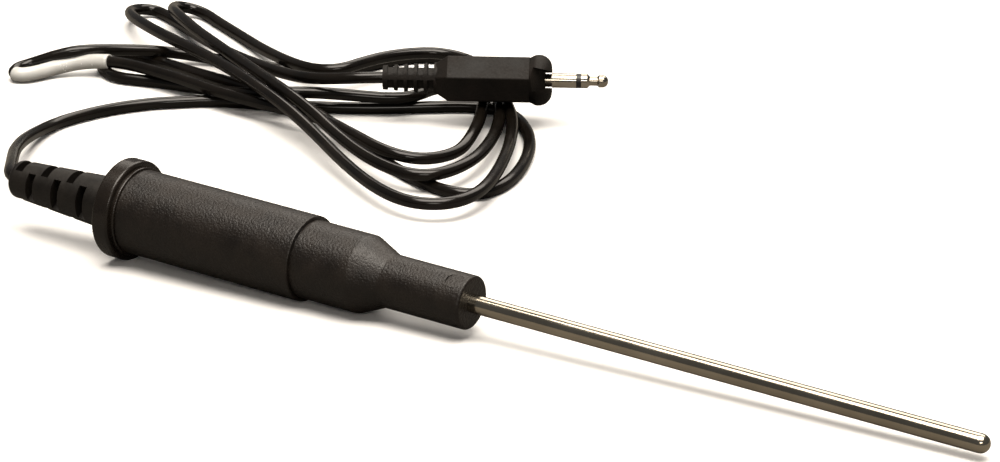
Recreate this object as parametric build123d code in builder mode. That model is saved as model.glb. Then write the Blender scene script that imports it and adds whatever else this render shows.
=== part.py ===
"""Hand-held thermistor probe: a thin steel sheath, a moulded handle with a nose and
a stop flange, a slotted boot, and a thin lead in loose loops that ends in a moulded
mono mini-jack plug.

Millimetres, +Z up. The probe lies on the plane z = 0, on the rim of its flange and
the front edge of its grip, so its axis dips towards the tip. The middle of the nose's
front face is above the origin, and the tip points along +X. Stations along the probe
count from that face, forwards; stations along the plug count from its rear end.
"""

import os
from math import asin, atan2, cos, degrees, hypot, pi, radians, sin, tan

from build123d import *

# ---- sheath and its sensor ------------------------------------------------------
SHEATH_R = 2.0
SHEATH_WALL = 0.4
SHEATH_OUT = 118.7        # nose face to tip
SHEATH_IN = 24.0          # held length inside the nose
SHEATH_ROOT_R = 1.8       # held length, ground under size
BEAD_R = 1.0
BEAD_LENGTH = 4.0
TIP_TO_BEAD = 4.4         # bead's front end to the inside of the tip
LEAD_R = 0.25
SLEEVE_IN_R = 1.0
SLEEVE_OUT_R = 1.3
SLEEVE_PAST_ROOT = 4.0    # sleeving behind the sheath's rear end
SLEEVE_TO_BEAD = 2.0
FERRULE_R = 3.4
FERRULE_LENGTH = 9.0
BUSH_R = 3.05
BUSH_THICKNESS = 0.55

# ---- handle ---------------------------------------------------------------------
NOSE_R = 5.8
NOSE_LENGTH = 20.1
NOSE_EDGE = 0.6
CONE_LENGTH = 6.3
FRONT_R = 8.5
FRONT_LENGTH = 14.2
GRIP_R = 9.35
GRIP_LENGTH = 45.3
GRIP_EDGE = 0.35
LEDGE_R = 9.9
LEDGE_LENGTH = 0.9
FLANGE_R = 11.1
FLANGE_THICKNESS = 4.2
FLANGE_EDGE = 0.63
WALL = 1.9
SPIGOT_WALL = 1.5
FRONT_SPIGOT = 11.0
CAP_SPIGOT = 10.0
O_RING_R = 0.42
O_RING_FROM_STEP = 4.4
FILL_PLUG_R = 1.9
FILL_PLUG_STATION = -3.0
FILL_PLUG_TURN = 25.0     # degrees from the top of the nose, towards -Y
FILL_PLUG_DEPTH = 2.4
FILL_PLUG_RECESS = 0.25

# ---- boot and cable -------------------------------------------------------------
CORD_R = 1.45
JACKET_WALL = 0.45
CONDUCTOR_R = 0.38
WIRE_OFFSET = 0.6         # each wire's distance from the axis
BOOT_REAR_R = 4.17
BOOT_FRONT_R = 6.09
BOOT_LENGTH = 28.8
BOOT_REAR_EDGE = 1.2
BOOT_NECK_R = 4.55
BOOT_NECK_LENGTH = 6.5
BOOT_HEAD_R = 5.5
BOOT_HEAD_LENGTH = 2.0
BOOT_CORE_WALL = 0.85     # left round the cable at the bottom of each slot
BOOT_SLOT = 2.0
BOOT_PITCH = 7.3
BOOT_SLOT_COUNT = 3
BOOT_FIRST_TOP = 2.6      # boot's rear end to the middle of the first slot
BOOT_FIRST_SIDE = 6.6
BOOT_SLOT_HALF_ANGLE = 42.0
BOOT_ROLL = -6.0
CLAMP_THICKNESS = 2.0
CLAMP_FROM_HEAD = 2.0
TAIL_INTO_HANDLE = 17.0
WIRE_IN_JACKET = 5.5      # boot's rear end to the start of the modelled wires
SPLICE_R = 0.45
SPLICE_LENGTH = 4.0
SPLICE_SLEEVE_R = 0.7
SPLICE_OVERLAP = 1.75
SPLICES_FROM_TAIL = (16.0, 7.5)

# ---- plug -----------------------------------------------------------------------
PLUG_REAR = Vector(-92.2, 104.2, 11.5)
PLUG_HEADING = 29.0
PLUG_ROLL = 20.0          # near corner of the body, above the level
RELIEF_REAR_R = 2.9
RELIEF_FRONT_R = 3.85
RELIEF_LENGTH = 12.8
RELIEF_SLOT = 1.6
RELIEF_PITCH = 2.4
RELIEF_SLOT_COUNT = 5
RELIEF_FIRST = 1.9
RELIEF_SPINE = 1.2
RELIEF_CORE_WALL = 1.05
RELIEF_INTO_BODY = 1.0
BODY_CORNER_R = 6.2
BODY_CORNER_ROUND = 0.5
BODY_LENGTH = 22.3
BODY_REAR_CORNER_R = 4.2
BODY_TAPER = 2.8
COLLAR_R = 6.1
COLLAR_LENGTH = 5.3
COLLAR_ROOT_R = 5.35
COLLAR_FLARE = 1.5
COLLAR_ROUND = 3.1
NOTCH_WIDTH = 3.7
NOTCH_DEPTH = 1.6
THROAT_WIDTH = 6.2
JACK_R = 1.75
JACK_ROOT_R = 1.55        # jack's barrel behind the collar's front face
SLEEVE_BORE_R = 1.2
TIP_PIN_R = 0.75
NECK_R = 1.1
BALL_R = 1.5
SLEEVE_OUT = 5.8
BAND_LENGTH = 1.2
LAND_LENGTH = 1.4
NECK_LENGTH = 2.8
BALL_LENGTH = 2.2
BALL_FRONT_ROUND = 1.4
BALL_REAR_ROUND = 0.5
CONTACT_FLANGE_R = 3.0
CONTACT_FLANGE = 1.2
CONTACT_BURIED = 8.6
MOULD_R = 3.6
MOULD_LENGTH = 12.0
MOULD_FROM_COLLAR = 1.0
LUG_WIDTH = 2.0
LUG_THICKNESS = 0.4
LUG_LENGTH = 8.0
PLUG_TAIL = 9.0
PLUG_WIRE_START = 1.0

FIT_GAP = 0.05
MOULD_GAP = 0.02
CUT_PAST = 1.0            # how far a cutter runs past the surface it cuts

# ---- stations that follow -------------------------------------------------------
cone_front = -NOSE_LENGTH
cone_rear = cone_front - CONE_LENGTH
step = cone_rear - FRONT_LENGTH
ledge_front = step - GRIP_LENGTH
flange_front = ledge_front - LEDGE_LENGTH
flange_rear = flange_front - FLANGE_THICKNESS
boot_rear = flange_rear - BOOT_LENGTH
sheath_bore = SHEATH_R - SHEATH_WALL
tip_centre = SHEATH_OUT - SHEATH_R
bead_front = SHEATH_OUT - SHEATH_WALL - TIP_TO_BEAD
bead_rear = bead_front - BEAD_LENGTH
grip_bore = GRIP_R - WALL
spigot_r = grip_bore - FIT_GAP
spigot_bore = spigot_r - SPIGOT_WALL
jacket_bore = CORD_R - JACKET_WALL
cable_bore = CORD_R + MOULD_GAP
neck_front = flange_rear + BOOT_NECK_LENGTH
tail_front = flange_rear + TAIL_INTO_HANDLE

# The probe rests on two rounded rims, which set its tilt and the height of its nose.
rim_gap = (step - GRIP_EDGE) - (flange_front - FLANGE_EDGE)
rim_drop = (FLANGE_R - FLANGE_EDGE) - (GRIP_R - GRIP_EDGE)
tilt = atan2(rim_drop, rim_gap) + asin((FLANGE_EDGE - GRIP_EDGE) / hypot(rim_drop, rim_gap))
nose_height = (step - GRIP_EDGE) * sin(tilt) + (GRIP_R - GRIP_EDGE) * cos(tilt) + GRIP_EDGE

probe_dir = Vector(cos(tilt), 0, -sin(tilt))
probe_nose = Vector(0, 0, nose_height)
probe_axis = Axis(probe_nose, probe_dir)
probe_side = Plane(probe_nose, x_dir=probe_dir, z_dir=(0, -1, 0))

plug_dir = Vector(cos(radians(PLUG_HEADING)), sin(radians(PLUG_HEADING)), 0)
level_far = Vector(-plug_dir.Y, plug_dir.X, 0)
plug_far = level_far * cos(radians(PLUG_ROLL)) - Vector(0, 0, sin(radians(PLUG_ROLL)))
plug_up = plug_dir.cross(plug_far)
plug_axis = Axis(PLUG_REAR, plug_dir)
plug_side = Plane(PLUG_REAR, x_dir=plug_dir, z_dir=-plug_far)


def across_probe(station):
    """Plane square to the probe: local x to the far side (+Y), local y up."""
    return Plane(probe_nose + probe_dir * station, x_dir=(0, 1, 0), z_dir=probe_dir)


def across_plug(station):
    """Plane square to the plug: local x to its far side, local y up."""
    return Plane(PLUG_REAR + plug_dir * station, x_dir=plug_far, z_dir=plug_dir)


def round_corner(profile, corner, radius):
    """Round the corner of a profile that is nearest to the given point."""
    fillet(profile.vertices().sort_by_distance((*corner, 0))[0], radius)


def turned(side, axis, outline, mode=Mode.ADD):
    """Add or cut the solid that an outline of (station, radius) points makes."""
    with BuildSketch(side) as profile:
        with BuildLine():
            Polyline(*outline, close=True)
        make_face()
    revolve(profile.sketch, axis=axis, mode=mode)


def ring(start, end, inner, outer, mode=Mode.ADD):
    """Ring about the probe's axis."""
    turned(probe_side, probe_axis, [(start, inner), (end, inner), (end, outer), (start, outer)], mode)


def plug_ring(start, end, inner, outer, mode=Mode.ADD):
    """Ring about the plug's axis."""
    turned(plug_side, plug_axis, [(start, inner), (end, inner), (end, outer), (start, outer)], mode)


def wire(section, length, offset, radius):
    """Straight wire from a section plane, offset upwards from the axis."""
    with BuildSketch(section) as profile:
        with Locations((0, offset)):
            Circle(radius)
    extrude(profile.sketch, amount=length)


# ---- sheath ---------------------------------------------------------------------
# Drawn steel tube with a closed, half-round tip and a shoulder at the nose's face.
with BuildPart() as sheath_tube:
    with BuildSketch(probe_side):
        with BuildLine():
            Polyline(
                (tip_centre, SHEATH_R),
                (0, SHEATH_R),
                (0, SHEATH_ROOT_R),
                (-SHEATH_IN, SHEATH_ROOT_R),
                (-SHEATH_IN, sheath_bore),
                (tip_centre, sheath_bore),
            )
            CenterArc((tip_centre, 0), sheath_bore, 0, 90)
            CenterArc((tip_centre, 0), SHEATH_R, 0, 90)
            Line((tip_centre + sheath_bore, 0), (SHEATH_OUT, 0))
        make_face()
    revolve(axis=probe_axis)

# Thermistor bead, just behind the tip.
with BuildPart() as thermistor_bead:
    with BuildSketch(probe_side):
        with BuildLine():
            Polyline((bead_front - BEAD_R, BEAD_R), (bead_rear, BEAD_R), (bead_rear, 0), (bead_front, 0))
            CenterArc((bead_front - BEAD_R, 0), BEAD_R, 0, 90)
        make_face()
    revolve(axis=probe_axis)

# Resin that fills the tip round the bead.
with BuildPart() as tip_potting:
    with BuildSketch(probe_side):
        with BuildLine():
            Polyline(
                (tip_centre, sheath_bore),
                (bead_rear, sheath_bore),
                (bead_rear, 0),
                (tip_centre + sheath_bore, 0),
            )
            CenterArc((tip_centre, 0), sheath_bore, 0, 90)
        make_face()
    revolve(axis=probe_axis)
    add(thermistor_bead.part, mode=Mode.SUBTRACT)

# Insulating sleeve round the two sensor leads.
with BuildPart() as lead_sleeve:
    ring(-SHEATH_IN - SLEEVE_PAST_ROOT, bead_rear - SLEEVE_TO_BEAD, SLEEVE_IN_R, SLEEVE_OUT_R)

# Crimped ferrule that anchors the tube inside the nose.
with BuildPart() as sheath_ferrule:
    ring(-SHEATH_IN, -SHEATH_IN + FERRULE_LENGTH, SHEATH_ROOT_R, FERRULE_R)

# Bush that closes the nose round the tube.
bush_rear = -BUSH_THICKNESS
with BuildPart() as nose_bush:
    ring(bush_rear, 0, SHEATH_ROOT_R + MOULD_GAP, BUSH_R)

# ---- handle ---------------------------------------------------------------------
# Nose, cone and front barrel in one moulding, with a spigot into the grip.
spigot_rear = step - FRONT_SPIGOT
o_ring_station = step - O_RING_FROM_STEP
ferrule_front = -SHEATH_IN + FERRULE_LENGTH
groove_r = spigot_r - 2 * O_RING_R
fill_turn = radians(FILL_PLUG_TURN)
fill_dir = Vector(0, -sin(fill_turn), 0) + Vector(sin(tilt), 0, cos(tilt)) * cos(fill_turn)
fill_floor = Plane(
    probe_nose + probe_dir * FILL_PLUG_STATION + fill_dir * (NOSE_R - FILL_PLUG_DEPTH),
    x_dir=probe_dir,
    z_dir=fill_dir,
)
with BuildPart() as nose_housing:
    with BuildSketch(probe_side) as nose_profile:
        with BuildLine():
            Polyline(
                (0, SHEATH_ROOT_R + MOULD_GAP),
                (0, NOSE_R),
                (cone_front, NOSE_R),
                (cone_rear, FRONT_R),
                (step, FRONT_R),
                (step, spigot_r),
                (spigot_rear, spigot_r),
                (spigot_rear, spigot_bore),
                (cone_rear - WALL, spigot_bore),
                (cone_front - WALL, FERRULE_R + FIT_GAP),
                (ferrule_front, FERRULE_R + FIT_GAP),
                (ferrule_front, SHEATH_ROOT_R + MOULD_GAP),
                close=True,
            )
        make_face()
        round_corner(nose_profile, (0, NOSE_R), NOSE_EDGE)
        round_corner(nose_profile, (cone_front, NOSE_R), CONE_LENGTH / 4)
        round_corner(nose_profile, (cone_rear, FRONT_R), CONE_LENGTH / 4)
    revolve(axis=probe_axis)
    ring(bush_rear, CUT_PAST, SHEATH_ROOT_R, BUSH_R + FIT_GAP, mode=Mode.SUBTRACT)
    groove_half = O_RING_R + FIT_GAP
    ring(o_ring_station - groove_half, o_ring_station + groove_half, groove_r, GRIP_R, mode=Mode.SUBTRACT)
    with BuildSketch(fill_floor):
        Circle(FILL_PLUG_R + FIT_GAP)
    extrude(amount=2 * FILL_PLUG_DEPTH, mode=Mode.SUBTRACT)

# Round plug, sunk a little into the side of the nose.
with BuildPart() as fill_plug:
    with BuildSketch(fill_floor):
        Circle(FILL_PLUG_R)
    extrude(amount=FILL_PLUG_DEPTH - FILL_PLUG_RECESS)

# Seal between the front barrel's spigot and the grip.
with BuildPart() as joint_o_ring:
    with BuildSketch(probe_side):
        with Locations((o_ring_station, groove_r + O_RING_R + MOULD_GAP)):
            Circle(O_RING_R)
    revolve(axis=probe_axis)

# Grip barrel, open at both ends.
with BuildPart() as grip_barrel:
    with BuildSketch(probe_side) as grip_profile:
        with BuildLine():
            Polyline(
                (ledge_front, grip_bore), (step, grip_bore), (step, GRIP_R), (ledge_front, GRIP_R), close=True
            )
        make_face()
        round_corner(grip_profile, (step, GRIP_R), GRIP_EDGE)
    revolve(axis=probe_axis)

# Rear cap: stop flange, ledge and spigot, bored for the boot's neck and head.
cap_front = ledge_front + CAP_SPIGOT
head_bore = BOOT_HEAD_R + FIT_GAP
with BuildPart() as rear_cap:
    with BuildSketch(probe_side) as cap_profile:
        with BuildLine():
            Polyline(
                (flange_rear, BOOT_NECK_R + MOULD_GAP),
                (flange_rear, FLANGE_R),
                (flange_front, FLANGE_R),
                (flange_front, LEDGE_R),
                (ledge_front, LEDGE_R),
                (ledge_front, spigot_r),
                (cap_front, spigot_r),
                (cap_front, head_bore),
                (neck_front, head_bore),
                (neck_front, BOOT_NECK_R + MOULD_GAP),
                close=True,
            )
        make_face()
        round_corner(cap_profile, (flange_rear, FLANGE_R), FLANGE_EDGE)
        round_corner(cap_profile, (flange_front, FLANGE_R), FLANGE_EDGE)
        round_corner(cap_profile, (ledge_front, LEDGE_R), LEDGE_LENGTH / 3)
    revolve(axis=probe_axis)

# ---- boot and what it holds -----------------------------------------------------
# Tapered rubber boot. Four rows of slots, top and bottom half a pitch from the sides.
slot_rows = [(90 * row, BOOT_FIRST_SIDE if row % 2 == 0 else BOOT_FIRST_TOP) for row in range(4)]
with BuildPart() as rear_boot:
    with BuildSketch(probe_side) as boot_profile:
        with BuildLine():
            Polyline(
                (boot_rear, cable_bore),
                (boot_rear, BOOT_REAR_R),
                (flange_rear, BOOT_FRONT_R),
                (flange_rear, BOOT_NECK_R),
                (neck_front, BOOT_NECK_R),
                (neck_front, BOOT_HEAD_R),
                (neck_front + BOOT_HEAD_LENGTH, BOOT_HEAD_R),
                (neck_front + BOOT_HEAD_LENGTH, cable_bore),
                close=True,
            )
        make_face()
        round_corner(boot_profile, (boot_rear, BOOT_REAR_R), BOOT_REAR_EDGE)
    revolve(axis=probe_axis)
    for row_angle, first in slot_rows:
        middle = row_angle + (BOOT_ROLL if row_angle % 180 == 0 else 0)
        for number in range(BOOT_SLOT_COUNT):
            station = boot_rear + first + number * BOOT_PITCH
            with BuildSketch(across_probe(station)):
                with BuildLine():
                    start = middle - BOOT_SLOT_HALF_ANGLE
                    floor = CenterArc((0, 0), cable_bore + BOOT_CORE_WALL, start, 2 * BOOT_SLOT_HALF_ANGLE)
                    mouth = CenterArc((0, 0), BOOT_FRONT_R + CUT_PAST, start, 2 * BOOT_SLOT_HALF_ANGLE)
                    Line(floor @ 0, mouth @ 0)
                    Line(floor @ 1, mouth @ 1)
                make_face()
            extrude(amount=BOOT_SLOT / 2, both=True, mode=Mode.SUBTRACT)

# Clamp on the cable, inside the cap.
clamp_front = neck_front + BOOT_HEAD_LENGTH + CLAMP_FROM_HEAD + CLAMP_THICKNESS
with BuildPart() as cable_clamp:
    ring(clamp_front - CLAMP_THICKNESS, clamp_front, CORD_R, BOOT_HEAD_R)

# Cable jacket from the boot's rear end into the grip.
with BuildPart() as cable_tail:
    ring(boot_rear, tail_front, jacket_bore, CORD_R)

# Two sensor leads, each spliced to a conductor of the cable at its own station.
sensor_leads = {}
conductors = {}
splices = {}
splice_sleeves = {}
for letter, side, splice in (("a", 1, tail_front + SPLICES_FROM_TAIL[0]), ("b", -1, tail_front + SPLICES_FROM_TAIL[1])):
    splice_rear = splice - SPLICE_LENGTH / 2
    splice_front = splice + SPLICE_LENGTH / 2
    conductor_rear = boot_rear + WIRE_IN_JACKET
    with BuildPart() as lead:
        wire(across_probe(splice_front), bead_rear - splice_front, side * WIRE_OFFSET, LEAD_R)
    with BuildPart() as conductor:
        wire(across_probe(conductor_rear), splice_rear - conductor_rear, side * WIRE_OFFSET, CONDUCTOR_R)
    with BuildPart() as joint:
        wire(across_probe(splice_rear), SPLICE_LENGTH, side * WIRE_OFFSET, SPLICE_R)
    with BuildPart() as sleeve:
        with BuildSketch(across_probe(splice_rear - SPLICE_OVERLAP)):
            with Locations((0, side * WIRE_OFFSET)):
                Circle(SPLICE_SLEEVE_R)
                Circle(SPLICE_R, mode=Mode.SUBTRACT)
        extrude(amount=SPLICE_LENGTH + 2 * SPLICE_OVERLAP)
    sensor_leads[letter] = lead
    conductors[letter] = conductor
    splices[letter] = joint
    splice_sleeves[letter] = sleeve

# ---- plug -----------------------------------------------------------------------
body_rear = RELIEF_LENGTH
collar_rear = body_rear + BODY_LENGTH
collar_front = collar_rear + COLLAR_LENGTH
throat_front = collar_front - NOTCH_DEPTH
sleeve_front = collar_front + SLEEVE_OUT
band_front = sleeve_front + BAND_LENGTH
land_front = band_front + LAND_LENGTH
neck_end = land_front + NECK_LENGTH
jack_tip = neck_end + BALL_LENGTH
contact_rear = collar_rear - CONTACT_BURIED
lug_rear = contact_rear - LUG_LENGTH
mould_front = collar_rear - MOULD_FROM_COLLAR

# Outer contact: the barrel of the jack, with a flange buried in the plug.
with BuildPart() as plug_sleeve_contact:
    plug_ring(collar_front, sleeve_front, SLEEVE_BORE_R, JACK_R)
    plug_ring(contact_rear, collar_front, SLEEVE_BORE_R, JACK_ROOT_R)
    plug_ring(contact_rear, contact_rear + CONTACT_FLANGE, SLEEVE_BORE_R, CONTACT_FLANGE_R)

# Insulator: a liner inside the outer contact and the dark band in front of it.
with BuildPart() as plug_insulator:
    plug_ring(contact_rear - CONTACT_FLANGE, sleeve_front, TIP_PIN_R, SLEEVE_BORE_R)
    plug_ring(sleeve_front, band_front, TIP_PIN_R, JACK_R)

# Inner contact: a pin through the plug, then land, neck and ball.
with BuildPart() as plug_tip_contact:
    pin_rear = contact_rear - 2 * CONTACT_FLANGE
    with BuildSketch(plug_side) as tip_profile:
        with BuildLine():
            Polyline(
                (pin_rear, 0),
                (pin_rear, TIP_PIN_R),
                (band_front, TIP_PIN_R),
                (band_front, JACK_R),
                (land_front, JACK_R),
                (land_front + (JACK_R - NECK_R), NECK_R),
                (neck_end - (BALL_R - NECK_R), NECK_R),
                (neck_end, BALL_R),
                (jack_tip, BALL_R),
                (jack_tip, 0),
                close=True,
            )
        make_face()
        round_corner(tip_profile, (jack_tip, BALL_R), BALL_FRONT_ROUND)
        round_corner(tip_profile, (neck_end, BALL_R), BALL_REAR_ROUND)
    revolve(axis=plug_axis)

# Solder lugs behind the contacts.
with BuildPart() as plug_tip_lug:
    with BuildSketch(across_plug(pin_rear)):
        Rectangle(LUG_WIDTH, LUG_THICKNESS)
    extrude(amount=-LUG_LENGTH)

with BuildPart() as plug_sleeve_lug:
    with BuildSketch(across_plug(contact_rear)):
        with Locations((0, SLEEVE_BORE_R + LUG_THICKNESS / 2 + MOULD_GAP)):
            Rectangle(LUG_WIDTH, LUG_THICKNESS)
    extrude(amount=-LUG_LENGTH)

# Cable jacket and conductors where the plug is moulded round them.
with BuildPart() as plug_cable_tail:
    plug_ring(0, PLUG_TAIL, jacket_bore, CORD_R)

plug_conductors = {}
for letter, side in (("a", 1), ("b", -1)):
    with BuildPart() as conductor:
        wire_length = lug_rear + LUG_LENGTH / 2 - PLUG_WIRE_START
        wire(across_plug(PLUG_WIRE_START), wire_length, side * WIRE_OFFSET, CONDUCTOR_R)
    plug_conductors[letter] = conductor

buried = [plug_sleeve_contact, plug_insulator, plug_tip_contact, plug_tip_lug, plug_sleeve_lug]
buried += [plug_conductors["a"], plug_conductors["b"]]

# Hard moulding that locks the contacts and lugs together.
with BuildPart() as plug_inner_mould:
    plug_ring(mould_front - MOULD_LENGTH, mould_front, 0, MOULD_R)
    for piece in buried:
        add(piece.part, mode=Mode.SUBTRACT)

# Side of the collar cut away down to the throat, as one cutter for each side.
with BuildPart() as throat_cut:
    with BuildSketch(Plane(PLUG_REAR - plug_far * COLLAR_R, x_dir=plug_dir, z_dir=plug_far)):
        with BuildLine():
            Polyline(
                (collar_rear, THROAT_WIDTH / 2),
                (collar_front + CUT_PAST, NOTCH_WIDTH / 2),
                (collar_front + CUT_PAST, -NOTCH_WIDTH / 2),
                (collar_rear, -THROAT_WIDTH / 2),
                close=True,
            )
        make_face()
    extrude(amount=2 * COLLAR_R)
    with BuildSketch(Plane(PLUG_REAR - plug_up * COLLAR_R, x_dir=plug_dir, z_dir=plug_up)):
        with BuildLine():
            Polyline(
                (collar_rear, COLLAR_R),
                (throat_front, JACK_R),
                (collar_front + CUT_PAST, JACK_R),
                (collar_front + CUT_PAST, COLLAR_R + CUT_PAST),
                (collar_rear, COLLAR_R + CUT_PAST),
                close=True,
            )
        make_face()
        mirror(about=Plane.XZ)
    extrude(amount=2 * COLLAR_R, mode=Mode.INTERSECT)

# Soft overmould: slotted relief, six-sided body and flared collar.
with BuildPart() as plug_overmould:
    turned(
        plug_side,
        plug_axis,
        [
            (0, 0),
            (0, RELIEF_REAR_R),
            (body_rear, RELIEF_FRONT_R),
            (body_rear + RELIEF_INTO_BODY, RELIEF_FRONT_R),
            (body_rear + RELIEF_INTO_BODY, 0),
        ],
    )
    relief_core = CORD_R + RELIEF_CORE_WALL
    for number in range(RELIEF_SLOT_COUNT):
        with BuildSketch(across_plug(RELIEF_FIRST + number * RELIEF_PITCH)):
            Circle(RELIEF_FRONT_R + CUT_PAST)
            Circle(relief_core, mode=Mode.SUBTRACT)
            Rectangle(2 * (RELIEF_FRONT_R + CUT_PAST), RELIEF_SPINE, mode=Mode.SUBTRACT)
        extrude(amount=RELIEF_SLOT / 2, both=True, mode=Mode.SUBTRACT)
    with BuildSketch(across_plug(body_rear)) as body_rear_face:
        RegularPolygon(BODY_REAR_CORNER_R, 6)
        fillet(body_rear_face.vertices(), BODY_CORNER_ROUND)
    with BuildSketch(across_plug(body_rear + BODY_TAPER)) as body_full_face:
        RegularPolygon(BODY_CORNER_R, 6)
        fillet(body_full_face.vertices(), BODY_CORNER_ROUND)
    loft()
    with BuildSketch(across_plug(body_rear + BODY_TAPER)) as body_face:
        RegularPolygon(BODY_CORNER_R, 6)
        fillet(body_face.vertices(), BODY_CORNER_ROUND)
    extrude(amount=BODY_LENGTH - BODY_TAPER)
    with BuildSketch(plug_side) as collar_profile:
        with BuildLine():
            Polyline(
                (collar_rear, 0),
                (collar_rear, COLLAR_ROOT_R),
                (collar_rear + COLLAR_FLARE, COLLAR_R),
                (collar_front, COLLAR_R),
                (collar_front, 0),
                close=True,
            )
        make_face()
        round_corner(collar_profile, (collar_rear + COLLAR_FLARE, COLLAR_R), COLLAR_FLARE)
        round_corner(collar_profile, (collar_front, COLLAR_R), COLLAR_ROUND)
    revolve(axis=plug_axis)
    add(throat_cut.part, mode=Mode.SUBTRACT)
    with BuildSketch(across_plug(throat_front)):
        Rectangle(4 * COLLAR_R, NOTCH_WIDTH)
    extrude(amount=2 * NOTCH_DEPTH, mode=Mode.SUBTRACT)
    plug_ring(mould_front - MOULD_LENGTH, mould_front, 0, MOULD_R, mode=Mode.SUBTRACT)
    plug_ring(0, PLUG_TAIL, 0, CORD_R, mode=Mode.SUBTRACT)
    for piece in buried:
        add(piece.part, mode=Mode.SUBTRACT)

# ---- free lead ------------------------------------------------------------------
# The lead leaves the boot in line with it, drops to the table and swings round to
# the loops. Each corner of its route is rounded as far as its two runs allow.
LEAD_HEIGHT = 1.5
lead_start = probe_nose + probe_dir * boot_rear
lead_end = Vector(-139.0, 88.0, LEAD_HEIGHT)
lead_end_dir = Vector(0.8, 0.6, 0)
LEAD_FIRST_RUN = 3.5
LEAD_LAST_RUN = 9.0
ROUNDING_SHARE = 0.45     # of the shorter run at a corner
lead_route = [
    lead_start,
    lead_start - probe_dir * LEAD_FIRST_RUN,
    Vector(-127.5, 4.0, 11.9),
    Vector(-132.0, 11.5, 10.4),
    Vector(-137.5, 19.5, 8.6),
    Vector(-145.0, 30.5, 6.2),
    Vector(-151.5, 43.0, 3.4),
    Vector(-155.0, 54.5, LEAD_HEIGHT),
    Vector(-154.8, 65.0, LEAD_HEIGHT),
    Vector(-151.8, 74.5, LEAD_HEIGHT),
    lead_end - lead_end_dir * LEAD_LAST_RUN,
    lead_end,
]
lead_runs = [after - before for before, after in zip(lead_route, lead_route[1:])]
lead_radii = []
for run, next_run in zip(lead_runs, lead_runs[1:]):
    half_turn = radians(run.get_angle(next_run)) / 2
    lead_radii.append(ROUNDING_SHARE * min(run.length, next_run.length) / tan(half_turn))
with BuildPart() as cable_lead:
    with BuildLine() as lead_path:
        FilletPolyline(*lead_route, radius=lead_radii)
    with BuildSketch(Plane(lead_start, z_dir=-probe_dir)):
        Circle(CORD_R)
    sweep()

# Outer shape of the loose loops: a low slab where they lie, a second storey where
# they cross, and a rise up to the plug's cable entry.
LOOPS_HEIGHT = 5.3
CROSSING_HEIGHT = 9.7
RISE_HALF_WIDTH = 4.0
MOUTH_FAR_SIDE = 5.0
MOUTH_NEAR_SIDE = 4.0
COLLAR_CLEARANCE = 0.3
COLLAR_END_CLEARANCE = 0.5
entry = Vector(PLUG_REAR.X, PLUG_REAR.Y)
lead_mouth = Vector(lead_end.X, lead_end.Y)
lead_square = Vector(-lead_end_dir.Y, lead_end_dir.X)
plug_square = Vector(level_far.X, level_far.Y)
entry_left = entry + plug_square * RISE_HALF_WIDTH
entry_right = entry - plug_square * RISE_HALF_WIDTH
loops_outline = [
    lead_mouth + lead_square * MOUTH_FAR_SIDE,
    lead_mouth - lead_square * MOUTH_NEAR_SIDE,
    (-118, 86), (-108, 83), (-90, 72), (-72, 58), (-58, 49), (-48, 47), (-41, 52), (-38, 61), (-38, 73),
    (-44, 94), (-52, 108), (-62, 118), (-72, 131), (-86, 146), (-100, 153), (-112, 150), (-118, 139),
    (-125, 127), (-145, 134), (-170, 147), (-184, 148), (-192, 142), (-192, 130), (-178, 117), (-172, 106),
    (-180, 98), (-187, 86), (-188, 76), (-181, 73), (-174, 92), (-160, 94),
]
crossing_outline = [
    (-112, 98), (-134, 104), (-160, 116), (-188, 131), (-189, 142), (-176, 145), (-150, 131), (-124, 119),
    (-106, 112),
]
rise_outline = [entry_left, (-104, 110), (-118, 108), (-122, 101), (-110, 97), entry_right]
with BuildPart() as cable_loops:
    for outline, height in (
        (loops_outline, LOOPS_HEIGHT),
        (crossing_outline, CROSSING_HEIGHT),
        (rise_outline, PLUG_REAR.Z + CORD_R),
    ):
        with BuildSketch(Plane.XY):
            with BuildLine():
                Polyline(*[Vector(point) for point in outline], close=True)
            make_face()
        extrude(amount=height)
    plug_ring(
        collar_rear - COLLAR_END_CLEARANCE,
        collar_front + COLLAR_END_CLEARANCE,
        0,
        COLLAR_R + COLLAR_CLEARANCE,
        mode=Mode.SUBTRACT,
    )

# ---- write the pieces -----------------------------------------------------------
pieces = {
    "sheath_tube": sheath_tube,
    "thermistor_bead": thermistor_bead,
    "tip_potting": tip_potting,
    "lead_sleeve": lead_sleeve,
    "sheath_ferrule": sheath_ferrule,
    "nose_bush": nose_bush,
    "nose_housing": nose_housing,
    "fill_plug": fill_plug,
    "joint_o_ring": joint_o_ring,
    "grip_barrel": grip_barrel,
    "rear_cap": rear_cap,
    "rear_boot": rear_boot,
    "cable_clamp": cable_clamp,
    "cable_tail": cable_tail,
    "plug_sleeve_contact": plug_sleeve_contact,
    "plug_insulator": plug_insulator,
    "plug_tip_contact": plug_tip_contact,
    "plug_tip_lug": plug_tip_lug,
    "plug_sleeve_lug": plug_sleeve_lug,
    "plug_cable_tail": plug_cable_tail,
    "plug_inner_mould": plug_inner_mould,
    "plug_overmould": plug_overmould,
    "cable_lead": cable_lead,
    "cable_loops": cable_loops,
}
for letter in ("a", "b"):
    pieces[f"sensor_lead_{letter}"] = sensor_leads[letter]
    pieces[f"conductor_{letter}"] = conductors[letter]
    pieces[f"splice_{letter}"] = splices[letter]
    pieces[f"splice_sleeve_{letter}"] = splice_sleeves[letter]
    pieces[f"plug_conductor_{letter}"] = plug_conductors[letter]

os.makedirs("parts", exist_ok=True)
for name, piece in pieces.items():
    piece.part.label = name
    export_step(piece.part, f"parts/{name}.step")

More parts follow.
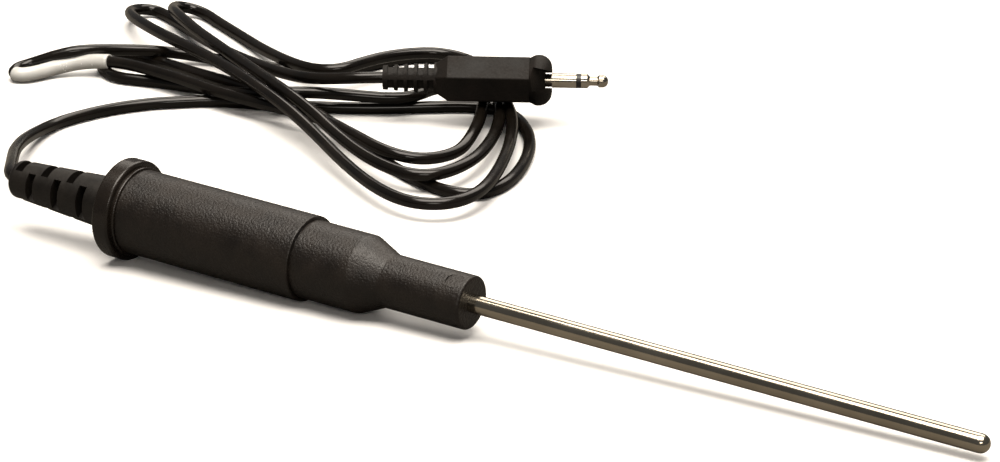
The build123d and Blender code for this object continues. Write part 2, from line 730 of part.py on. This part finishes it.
lead_length = lead_path.wires()[0].length
lead_volume = pi * CORD_R**2 * lead_length
print("tilt", round(degrees(tilt), 3), "nose height", round(nose_height, 3), "jack tip", round(jack_tip, 2))
print("lead radii", [round(radius, 1) for radius in lead_radii])
print("lead length", round(lead_length, 1), "volume ratio", round(cable_lead.part.volume / lead_volume, 4))
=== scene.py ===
import bmesh
import bpy
from mathutils import Matrix, Vector


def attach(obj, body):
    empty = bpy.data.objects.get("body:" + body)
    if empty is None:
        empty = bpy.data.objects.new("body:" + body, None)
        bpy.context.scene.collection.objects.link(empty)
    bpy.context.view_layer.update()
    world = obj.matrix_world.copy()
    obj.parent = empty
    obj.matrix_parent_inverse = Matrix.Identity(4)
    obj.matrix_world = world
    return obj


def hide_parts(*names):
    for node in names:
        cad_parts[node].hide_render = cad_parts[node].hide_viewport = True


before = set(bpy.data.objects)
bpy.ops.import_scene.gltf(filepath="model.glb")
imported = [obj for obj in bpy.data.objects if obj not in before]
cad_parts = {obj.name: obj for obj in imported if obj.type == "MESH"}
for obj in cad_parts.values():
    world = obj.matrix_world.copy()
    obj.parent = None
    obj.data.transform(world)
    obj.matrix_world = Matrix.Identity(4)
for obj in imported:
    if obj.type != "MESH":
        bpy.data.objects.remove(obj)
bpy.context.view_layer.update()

# ---- camera ---------------------------------------------------------------------
# Long lens a little above the table, looking across the handle from its near side.
CAMERA_PLACE = (0.41718, -0.64833, 0.31302)
CAMERA_RIGHT = Vector((0.84495, 0.53484, 0.0))
CAMERA_UP = Vector((-0.18787, 0.29680, 0.93628))
LENS_MM = 144.0
SENSOR_MM = 36.0
NEAREST_SEEN = 0.05
FARTHEST_SEEN = 30.0
lens = bpy.data.cameras.new("camera")
lens.sensor_fit = "HORIZONTAL"
lens.sensor_width = SENSOR_MM
lens.lens = LENS_MM
lens.clip_start = NEAREST_SEEN
lens.clip_end = FARTHEST_SEEN
camera = bpy.data.objects.new("camera", lens)
bpy.context.scene.collection.objects.link(camera)
camera_axes = Matrix((CAMERA_RIGHT, CAMERA_UP, CAMERA_RIGHT.cross(CAMERA_UP))).transposed()
camera.matrix_world = Matrix.Translation(CAMERA_PLACE) @ camera_axes.to_4x4()
bpy.context.scene.camera = camera
bpy.context.scene.view_settings.view_transform = "Standard"


# ---- lead -----------------------------------------------------------------------
# Thin two-core lead with an extruded soft PVC jacket. It leaves the boot, drops to the
# table, lies there in loose loops over itself, and climbs to the rear of the plug.
LEAD_DIAMETER = 0.0029
LEAD_BEVEL_STEPS = 5
LEAD_STEPS_PER_POINT = 8
LEAD_CURVE_ORDER = 3
POINT_WEIGHT = 1.0
LEAD_ROUTE = [
    (-0.1197, 0, 0.0123), (-0.1215, 0.0002, 0.0124), (-0.1245, 0.003, 0.0121), (-0.129, 0.009, 0.0109),
    (-0.1355, 0.0175, 0.009), (-0.1415, 0.0255, 0.0072), (-0.147, 0.0345, 0.0054),
    (-0.151, 0.0425, 0.0038), (-0.154, 0.05, 0.0024), (-0.1555, 0.057, 0.0016),
    (-0.155, 0.063, 0.0015), (-0.1515, 0.0735, 0.0015), (-0.1455, 0.0825, 0.0015),
    (-0.139, 0.088, 0.0015), (-0.135, 0.0915, 0.0015), (-0.1265, 0.095, 0.0015),
    (-0.116, 0.099, 0.0015), (-0.106, 0.1035, 0.0015), (-0.0965, 0.109, 0.0015),
    (-0.088, 0.1155, 0.0015), (-0.08, 0.1215, 0.0015), (-0.072, 0.124, 0.0015),
    (-0.064, 0.1205, 0.0015), (-0.055, 0.111, 0.0015), (-0.0485, 0.1, 0.0015),
    (-0.044, 0.0885, 0.0015), (-0.042, 0.079, 0.0015), (-0.043, 0.072, 0.0015),
    (-0.047, 0.0685, 0.0015), (-0.0545, 0.069, 0.0015), (-0.0665, 0.0735, 0.0015),
    (-0.081, 0.0815, 0.0015), (-0.097, 0.091, 0.0022), (-0.1085, 0.095, 0.004),
    (-0.1205, 0.097, 0.0046), (-0.1315, 0.098, 0.0046), (-0.1475, 0.103, 0.0032),
    (-0.161, 0.109, 0.0016), (-0.167, 0.11, 0.0015), (-0.172, 0.1095, 0.0015), (-0.175, 0.106, 0.0015),
    (-0.1745, 0.1015, 0.0015), (-0.172, 0.0975, 0.0015), (-0.168, 0.095, 0.0015),
    (-0.164, 0.094, 0.0015), (-0.1595, 0.095, 0.0015), (-0.154, 0.0965, 0.0015),
    (-0.147, 0.097, 0.0016), (-0.1355, 0.095, 0.003), (-0.123, 0.092, 0.0052),
    (-0.1135, 0.0935, 0.007), (-0.1075, 0.0995, 0.0062), (-0.1005, 0.106, 0.0048),
    (-0.0935, 0.1095, 0.0044), (-0.0895, 0.114, 0.0044), (-0.089, 0.121, 0.0044),
    (-0.086, 0.127, 0.0044), (-0.08, 0.1285, 0.0044), (-0.075, 0.123, 0.0044),
    (-0.0705, 0.114, 0.0044), (-0.066, 0.1055, 0.0044), (-0.0625, 0.0965, 0.004),
    (-0.061, 0.09, 0.0032), (-0.062, 0.0845, 0.003), (-0.0645, 0.0795, 0.0034),
    (-0.0685, 0.0765, 0.0042), (-0.0755, 0.077, 0.0048), (-0.086, 0.082, 0.0048),
    (-0.0985, 0.0875, 0.0048), (-0.11, 0.0885, 0.0048), (-0.1205, 0.089, 0.0048),
    (-0.132, 0.0905, 0.0048), (-0.145, 0.094, 0.0046), (-0.1575, 0.096, 0.0046),
    (-0.168, 0.0965, 0.0044), (-0.1755, 0.0945, 0.0036), (-0.1805, 0.0905, 0.0024),
    (-0.1825, 0.085, 0.002), (-0.1845, 0.0815, 0.002), (-0.1875, 0.0815, 0.002),
    (-0.1885, 0.0845, 0.0024), (-0.187, 0.0875, 0.0028), (-0.1845, 0.089, 0.0038),
    (-0.181, 0.091, 0.0052), (-0.176, 0.094, 0.0066), (-0.171, 0.102, 0.0054),
    (-0.165, 0.1085, 0.0044), (-0.1605, 0.1145, 0.0028), (-0.154, 0.118, 0.0017),
    (-0.1455, 0.1195, 0.0015), (-0.1355, 0.1205, 0.0015), (-0.127, 0.123, 0.0015),
    (-0.1205, 0.129, 0.0015), (-0.1165, 0.137, 0.0015), (-0.113, 0.145, 0.0015),
    (-0.1065, 0.15, 0.0015), (-0.097, 0.149, 0.0015), (-0.087, 0.142, 0.0016),
    (-0.0795, 0.1335, 0.0026), (-0.0745, 0.127, 0.0036), (-0.069, 0.1195, 0.0042),
    (-0.0635, 0.111, 0.004), (-0.057, 0.0975, 0.0044), (-0.053, 0.0845, 0.0044),
    (-0.053, 0.074, 0.0044), (-0.056, 0.0675, 0.0044), (-0.064, 0.0665, 0.0046),
    (-0.076, 0.071, 0.005), (-0.0885, 0.078, 0.006), (-0.099, 0.084, 0.0076), (-0.1105, 0.0895, 0.009),
    (-0.1285, 0.1, 0.0088), (-0.147, 0.1115, 0.0084), (-0.1575, 0.118, 0.0082), (-0.166, 0.124, 0.008),
    (-0.1735, 0.1305, 0.007), (-0.18, 0.1375, 0.0052), (-0.1835, 0.144, 0.0036),
    (-0.1815, 0.148, 0.0022), (-0.1765, 0.1475, 0.0016), (-0.1705, 0.144, 0.0015),
    (-0.1585, 0.1375, 0.0015), (-0.1435, 0.128, 0.0024), (-0.128, 0.1185, 0.0044),
    (-0.1195, 0.116, 0.0052), (-0.114, 0.118, 0.0058), (-0.112, 0.124, 0.0062),
    (-0.1095, 0.1305, 0.0064), (-0.1055, 0.1365, 0.0064), (-0.1005, 0.1415, 0.006),
    (-0.0925, 0.1415, 0.0058), (-0.084, 0.1365, 0.0062), (-0.0765, 0.1305, 0.0062),
    (-0.0695, 0.123, 0.0045), (-0.061, 0.113, 0.004), (-0.052, 0.0975, 0.0044),
    (-0.045, 0.082, 0.0044), (-0.0405, 0.069, 0.0044), (-0.04, 0.0585, 0.0044),
    (-0.0445, 0.0525, 0.0044), (-0.0525, 0.0515, 0.0044), (-0.064, 0.0565, 0.0044),
    (-0.078, 0.0655, 0.0048), (-0.0925, 0.0755, 0.006), (-0.1055, 0.0825, 0.008),
    (-0.122, 0.091, 0.009), (-0.1395, 0.101, 0.0084), (-0.155, 0.108, 0.008), (-0.166, 0.1135, 0.0075),
    (-0.1755, 0.1195, 0.0066), (-0.1845, 0.1265, 0.0052), (-0.1905, 0.133, 0.0038),
    (-0.1925, 0.139, 0.0026), (-0.19, 0.143, 0.0017), (-0.185, 0.1415, 0.0015),
    (-0.1785, 0.138, 0.0015), (-0.166, 0.1295, 0.0024), (-0.1495, 0.1185, 0.0042),
    (-0.1355, 0.111, 0.0056), (-0.122, 0.104, 0.0074), (-0.1105, 0.0995, 0.0092),
    (-0.1015, 0.1005, 0.0106), (-0.096, 0.1021, 0.0114), (-0.0922, 0.1042, 0.0115),
]


# The noise is mapped to shades and to gloss over the band where most of its values lie.
SHADE_BAND = (0.35, 0.68)
GLOSS_BAND = (0.1, 0.4)
BUMP_STRENGTH = 0.9
MM_PER_METRE = 1000


def linear(colour):
    """Linear RGBA of an sRGB hex colour."""
    channels = [int(colour[i : i + 2], 16) / 255 for i in (1, 3, 5)]
    return [c / 12.92 if c <= 0.04045 else ((c + 0.055) / 1.055) ** 2.4 for c in channels] + [1.0]


def add(tree, kind, inputs, **settings):
    """Add a node. Its inputs are given values, or the sockets that feed them."""
    node = tree.nodes.new(kind)
    for name, value in settings.items():
        setattr(node, name, value)
    for name, value in inputs.items():
        if isinstance(value, bpy.types.NodeSocket):
            tree.links.new(value, node.inputs[name])
        else:
            node.inputs[name].default_value = value
    return node


def surface(
    name, shades, patch_mm, rough, grain_mm, relief_mm, metallic=0.0, stretch=(1, 1, 1), **extra
):
    """A surface with two shades in soft patches, a roughness that varies, and a grain in relief.

    Sizes are in millimetres. A stretch below 1 draws the grain out along that axis.
    """
    made = bpy.data.materials.new(name)
    made.use_nodes = True
    tree = made.node_tree
    tree.nodes.clear()
    place = add(tree, "ShaderNodeTexCoord", {}).outputs["Object"]
    patch = add(
        tree,
        "ShaderNodeTexNoise",
        {"Vector": place, "Scale": MM_PER_METRE / patch_mm, "Detail": 3.0},
    )
    grain_place = add(tree, "ShaderNodeMapping", {"Vector": place, "Scale": stretch}).outputs["Vector"]
    grain = add(
        tree,
        "ShaderNodeTexNoise",
        {"Vector": grain_place, "Scale": MM_PER_METRE / grain_mm, "Detail": 2.0, "Roughness": 0.6},
    )
    shade = add(tree, "ShaderNodeValToRGB", {"Fac": patch.outputs["Fac"]})
    for element, position, colour in zip(shade.color_ramp.elements, SHADE_BAND, shades):
        element.position = position
        element.color = linear(colour)
    worn = add(
        tree, "ShaderNodeMath", {0: patch.outputs["Fac"], 1: grain.outputs["Fac"]}, operation="MULTIPLY"
    )
    gloss = add(
        tree,
        "ShaderNodeMapRange",
        {
            "Value": worn.outputs[0],
            "From Min": GLOSS_BAND[0],
            "From Max": GLOSS_BAND[1],
            "To Min": rough[0],
            "To Max": rough[1],
        },
    )
    relief = add(
        tree,
        "ShaderNodeBump",
        {
            "Height": grain.outputs["Fac"],
            "Strength": BUMP_STRENGTH,
            "Distance": relief_mm / MM_PER_METRE,
        },
    )
    shader = add(
        tree,
        "ShaderNodeBsdfPrincipled",
        {
            "Base Color": shade.outputs["Color"],
            "Roughness": gloss.outputs["Result"],
            "Normal": relief.outputs["Normal"],
            "Metallic": metallic,
            **extra,
        },
    )
    add(tree, "ShaderNodeOutputMaterial", {"Surface": shader.outputs["BSDF"]})
    return made


# Soft black PVC, smooth from the die: nearly black, a satin gloss with a thin bright
# line along its upper side, and the slight unevenness of a jacket over two wires.
lead_pvc = surface(
    "extruded_soft_pvc", ("#0d0b09", "#16120e"), 9.0, (0.14, 0.24), 3.0, 0.012,
    **{"IOR": 1.5, "Specular IOR Level": 0.36, "Coat Weight": 0.05, "Coat Roughness": 0.1},
)
lead_curve = bpy.data.curves.new("lead", "CURVE")
lead_curve.dimensions = "3D"
lead_curve.bevel_depth = LEAD_DIAMETER / 2
lead_curve.bevel_resolution = LEAD_BEVEL_STEPS
lead_curve.use_fill_caps = True
lead_spline = lead_curve.splines.new("NURBS")
lead_spline.points.add(len(LEAD_ROUTE) - 1)
for point, place in zip(lead_spline.points, LEAD_ROUTE):
    point.co = (*place, POINT_WEIGHT)
lead_spline.order_u = LEAD_CURVE_ORDER
lead_spline.use_endpoint_u = True
lead_spline.resolution_u = LEAD_STEPS_PER_POINT
lead_curve.materials.append(lead_pvc)
lead = bpy.data.objects.new("lead", lead_curve)
bpy.context.scene.collection.objects.link(lead)
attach(lead, "root")
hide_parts("cable_lead", "cable_loops")

# Points along the lead's centre, for the sleeve that is threaded on it.
line_curve = lead_curve.copy()
line_curve.bevel_depth = 0
line_curve.use_fill_caps = False
line = bpy.data.objects.new("lead_line", line_curve)
bpy.context.scene.collection.objects.link(line)
bpy.context.view_layer.update()
line_mesh = bpy.data.meshes.new_from_object(line.evaluated_get(bpy.context.evaluated_depsgraph_get()))
lead_points = [vertex.co.copy() for vertex in line_mesh.vertices]
bpy.data.meshes.remove(line_mesh)
bpy.data.objects.remove(line)
bpy.data.curves.remove(line_curve)


# ---- marker sleeve --------------------------------------------------------------
# Clear flexible PVC sleeve with a white label strip inside, pushed along the lead to
# its outer loop. It is left plain here. It is a tube along part of the lead's own line.
SLEEVE_REAR = Vector((-0.1865, 0.0815, 0.0017))
SLEEVE_FRONT = Vector((-0.1680, 0.0962, 0.0044))
SLEEVE_RADIUS = 0.00185
SLEEVE_WALL = 0.00035
SLEEVE_BEVEL_STEPS = 8
WALL_INWARDS = -1.0
sleeve_ends = sorted(
    min(range(len(lead_points)), key=lambda i: (lead_points[i] - end).length)
    for end in (SLEEVE_REAR, SLEEVE_FRONT)
)
sleeve_points = lead_points[sleeve_ends[0] : sleeve_ends[1] + 1]
sleeve_curve = bpy.data.curves.new("marker_sleeve_line", "CURVE")
sleeve_curve.dimensions = "3D"
sleeve_curve.bevel_depth = SLEEVE_RADIUS
sleeve_curve.bevel_resolution = SLEEVE_BEVEL_STEPS
sleeve_spline = sleeve_curve.splines.new("POLY")
sleeve_spline.points.add(len(sleeve_points) - 1)
for point, place in zip(sleeve_spline.points, sleeve_points):
    point.co = (*place, POINT_WEIGHT)
sleeve_line = bpy.data.objects.new("marker_sleeve_line", sleeve_curve)
bpy.context.scene.collection.objects.link(sleeve_line)
bpy.context.view_layer.update()
sleeve_mesh = bpy.data.meshes.new_from_object(
    sleeve_line.evaluated_get(bpy.context.evaluated_depsgraph_get())
)
bpy.data.objects.remove(sleeve_line)
bpy.data.curves.remove(sleeve_curve)
marker_sleeve = bpy.data.objects.new("marker_sleeve", sleeve_mesh)
bpy.context.scene.collection.objects.link(marker_sleeve)
sleeve_mesh.materials.clear()
sleeve_mesh.materials.append(
    surface(
        "clear_pvc_sleeve", ("#ecece8", "#fafaf8"), 5.0, (0.12, 0.3), 1.2, 0.02,
        **{"IOR": 1.53, "Transmission Weight": 0.35},
    )
)
for face in sleeve_mesh.polygons:
    face.use_smooth = True
sleeve_wall = marker_sleeve.modifiers.new("wall", "SOLIDIFY")
sleeve_wall.thickness = SLEEVE_WALL
sleeve_wall.offset = WALL_INWARDS
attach(marker_sleeve, "root")


# ---- sheath and its sensor ------------------------------------------------------
# Drawn stainless steel tube, polished along its length, with the bead potted in its
# tip and two leads in an insulating sleeve.
def dress(made, *names):
    """Give a material to CAD pieces."""
    for name in names:
        for material_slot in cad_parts[name].material_slots:
            material_slot.material = made


# Polished stainless steel, slightly warm. Fine lines run along the tube.
dress(
    surface(
        "polished_stainless_steel", ("#b0a796", "#c2b9a8"), 14.0, (0.1, 0.18), 0.4, 0.0002, 1.0, (0.02, 1, 1)
    ),
    "sheath_tube",
)
# Glass-dipped thermistor bead: dark amber, very smooth.
dress(
    surface(
        "glass_bead", ("#5a2f14", "#7c451f"), 1.2, (0.05, 0.12), 0.6, 0.004,
        **{"Transmission Weight": 0.25},
    ),
    "thermistor_bead",
)
# Filled epoxy: matt dark grey with fine filler in it.
dress(surface("filled_epoxy", ("#2b2a28", "#3a3835"), 1.5, (0.5, 0.7), 0.15, 0.02), "tip_potting")
# Fibreglass sleeving: off-white and matt, with a relief drawn out along the yarn.
dress(
    surface("glass_sleeving", ("#cfc8b4", "#e3decd"), 2.5, (0.6, 0.85), 0.4, 0.05, stretch=(0.5, 1, 1)),
    "lead_sleeve",
)
# Turned brass: yellow, with a fine relief that is drawn out round it.
dress(
    surface("turned_brass", ("#b08d47", "#c9a65c"), 3.0, (0.2, 0.35), 0.12, 0.004, 1.0, (1, 0.1, 0.1)),
    "sheath_ferrule",
)
# PVC on the wires: one red-brown, one grey, glossy from the die.
for letter, shades in (("a", ("#7d2018", "#8f2a20")), ("b", ("#8b8b88", "#a3a3a0"))):
    dress(
        surface("wire_pvc_" + letter, shades, 4.0, (0.3, 0.45), 1.0, 0.01),
        "sensor_lead_" + letter, "conductor_" + letter, "plug_conductor_" + letter,
    )
# Shrink sleeve over each soldered joint: black, matt, slightly wrinkled.
dress(
    surface("shrink_sleeve", ("#111111", "#1c1b1b"), 2.0, (0.45, 0.6), 0.7, 0.04),
    "splice_sleeve_a", "splice_sleeve_b",
)
# Tin solder: bright, soft grey, frozen in small waves.
dress(
    surface("tin_solder", ("#a9a9a7", "#c4c4c2"), 1.0, (0.2, 0.4), 0.6, 0.03, 1.0), "splice_a", "splice_b"
)


# ---- handle ---------------------------------------------------------------------
# Nose with its cone and front barrel, grip barrel and rear cap, injection moulded in
# black ABS from spark-eroded moulds, pushed together over a seal.
# The eroded grain breaks up the black's satin sheen. It is drawn coarser and deeper
# than the real one, so that it shows.
dress(
    surface(
        "grained_abs", ("#15110e", "#201a15"), 6.0, (0.3, 0.5), 0.5, 0.16,
        **{"IOR": 1.5, "Specular IOR Level": 0.42},
    ),
    "nose_housing", "grip_barrel", "fill_plug", "nose_bush",
)
# The cap comes from a finer mould: smoother, a satin shine on its rounded rims.
dress(
    surface(
        "satin_abs", ("#15110e", "#1f1914"), 8.0, (0.2, 0.32), 0.5, 0.02,
        **{"IOR": 1.5, "Specular IOR Level": 0.42},
    ),
    "rear_cap",
)
# Nitrile rubber seal: matt black.
dress(surface("nitrile_rubber", ("#0e0e0e", "#191919"), 3.0, (0.6, 0.8), 0.3, 0.02), "joint_o_ring")


# ---- boot and clamp -------------------------------------------------------------
# Strain-relief boot moulded in soft black rubber with rows of slots; the jacket passes
# through it and is held by a clamp inside the cap.
dress(
    surface(
        "moulded_rubber", ("#110e0b", "#1a1612"), 5.0, (0.38, 0.55), 0.7, 0.04,
        **{"IOR": 1.5, "Specular IOR Level": 0.36},
    ),
    "rear_boot",
)
dress(lead_pvc, "cable_tail", "plug_cable_tail")
# Pressed steel clamp, nickel plated, slightly hazy.
dress(surface("plated_clamp", ("#9b9a94", "#b9b8b2"), 4.0, (0.2, 0.35), 0.3, 0.005, 1.0), "cable_clamp")


# ---- plug -----------------------------------------------------------------------
# Mono mini-jack, moulded in black PVC over its contacts: a slotted relief, a six-sided
# body and a flared collar. The contacts are turned brass, nickel plated.
# The body is dull from its mould. Its grain is drawn coarser and deeper, to show.
dress(
    surface(
        "moulded_pvc_plug", ("#120f0c", "#1b1612"), 5.0, (0.5, 0.68), 0.5, 0.09,
        **{"IOR": 1.5, "Specular IOR Level": 0.2},
    ),
    "plug_overmould",
)
# Bright nickel: nearly neutral, sharp reflections, a trace of relief.
dress(
    surface("bright_nickel", ("#b3ab9d", "#cbc3b5"), 6.0, (0.06, 0.16), 0.3, 0.0012, 1.0),
    "plug_sleeve_contact", "plug_tip_contact",
)
# Tinned brass lugs: dull grey, where the wires are soldered on.
dress(
    surface("tinned_lug_brass", ("#a9a498", "#c1bdb1"), 2.0, (0.2, 0.35), 0.2, 0.004, 1.0),
    "plug_tip_lug", "plug_sleeve_lug",
)
# Moulded nylon band: black, smooth.
dress(surface("moulded_nylon", ("#100f0f", "#1d1c1b"), 3.0, (0.3, 0.45), 0.4, 0.01), "plug_insulator")
# Hard inner moulding: dark grey polypropylene.
dress(
    surface("inner_polypropylene", ("#262626", "#333332"), 4.0, (0.4, 0.55), 0.5, 0.02),
    "plug_inner_mould",
)


# ---- table and light ------------------------------------------------------------
# A table under large soft boxes, in a dim room. The camera sees the table white. Every
# other ray meets a mid grey, so that it doesn't light the black pieces from below.
TABLE_WIDTH = 6.0
ROOM_STRENGTH = 0.1
table_mesh = bpy.data.meshes.new("table")
table_plane = bmesh.new()
bmesh.ops.create_grid(table_plane, x_segments=1, y_segments=1, size=TABLE_WIDTH / 2)
table_plane.to_mesh(table_mesh)
table_plane.free()
table = bpy.data.objects.new("table", table_mesh)
bpy.context.scene.collection.objects.link(table)
table_white = bpy.data.materials.new("table_white")
table_white.use_nodes = True
table_tree = table_white.node_tree
table_tree.nodes.clear()
seen = add(table_tree, "ShaderNodeLightPath", {}).outputs["Is Camera Ray"]
grey = add(table_tree, "ShaderNodeBsdfDiffuse", {"Color": linear("#6b6863")}).outputs["BSDF"]
white = add(table_tree, "ShaderNodeBsdfDiffuse", {"Color": linear("#fbfbfb")}).outputs["BSDF"]
table_mix = add(table_tree, "ShaderNodeMixShader", {"Fac": seen, 1: grey, 2: white}).outputs["Shader"]
add(table_tree, "ShaderNodeOutputMaterial", {"Surface": table_mix})
table.data.materials.append(table_white)

room = bpy.data.worlds.new("room")
bpy.context.scene.world = room
room.use_nodes = True
room.node_tree.nodes["Background"].inputs["Color"].default_value = linear("#ffffff")
room.node_tree.nodes["Background"].inputs["Strength"].default_value = ROOM_STRENGTH

for name, place, size, watts in (
    ("back_box", (-0.3, 1.1, 1.1), (1.4, 0.9), 13.0),
    ("top_box", (0.1, -0.2, 1.6), (1.6, 1.2), 52.0),
    ("near_box", (0.9, -1.4, 0.9), (0.9, 0.4), 6.0),
):
    light = bpy.data.lights.new(name, "AREA")
    light.shape = "RECTANGLE"
    light.size, light.size_y = size
    light.energy = watts
    light.color = linear("#fff6ea")[:3]
    box = bpy.data.objects.new(name, light)
    box.location = place
    box.rotation_euler = Vector(place).to_track_quat("Z", "Y").to_euler()
    bpy.context.scene.collection.objects.link(box)

bpy.context.view_layer.update()
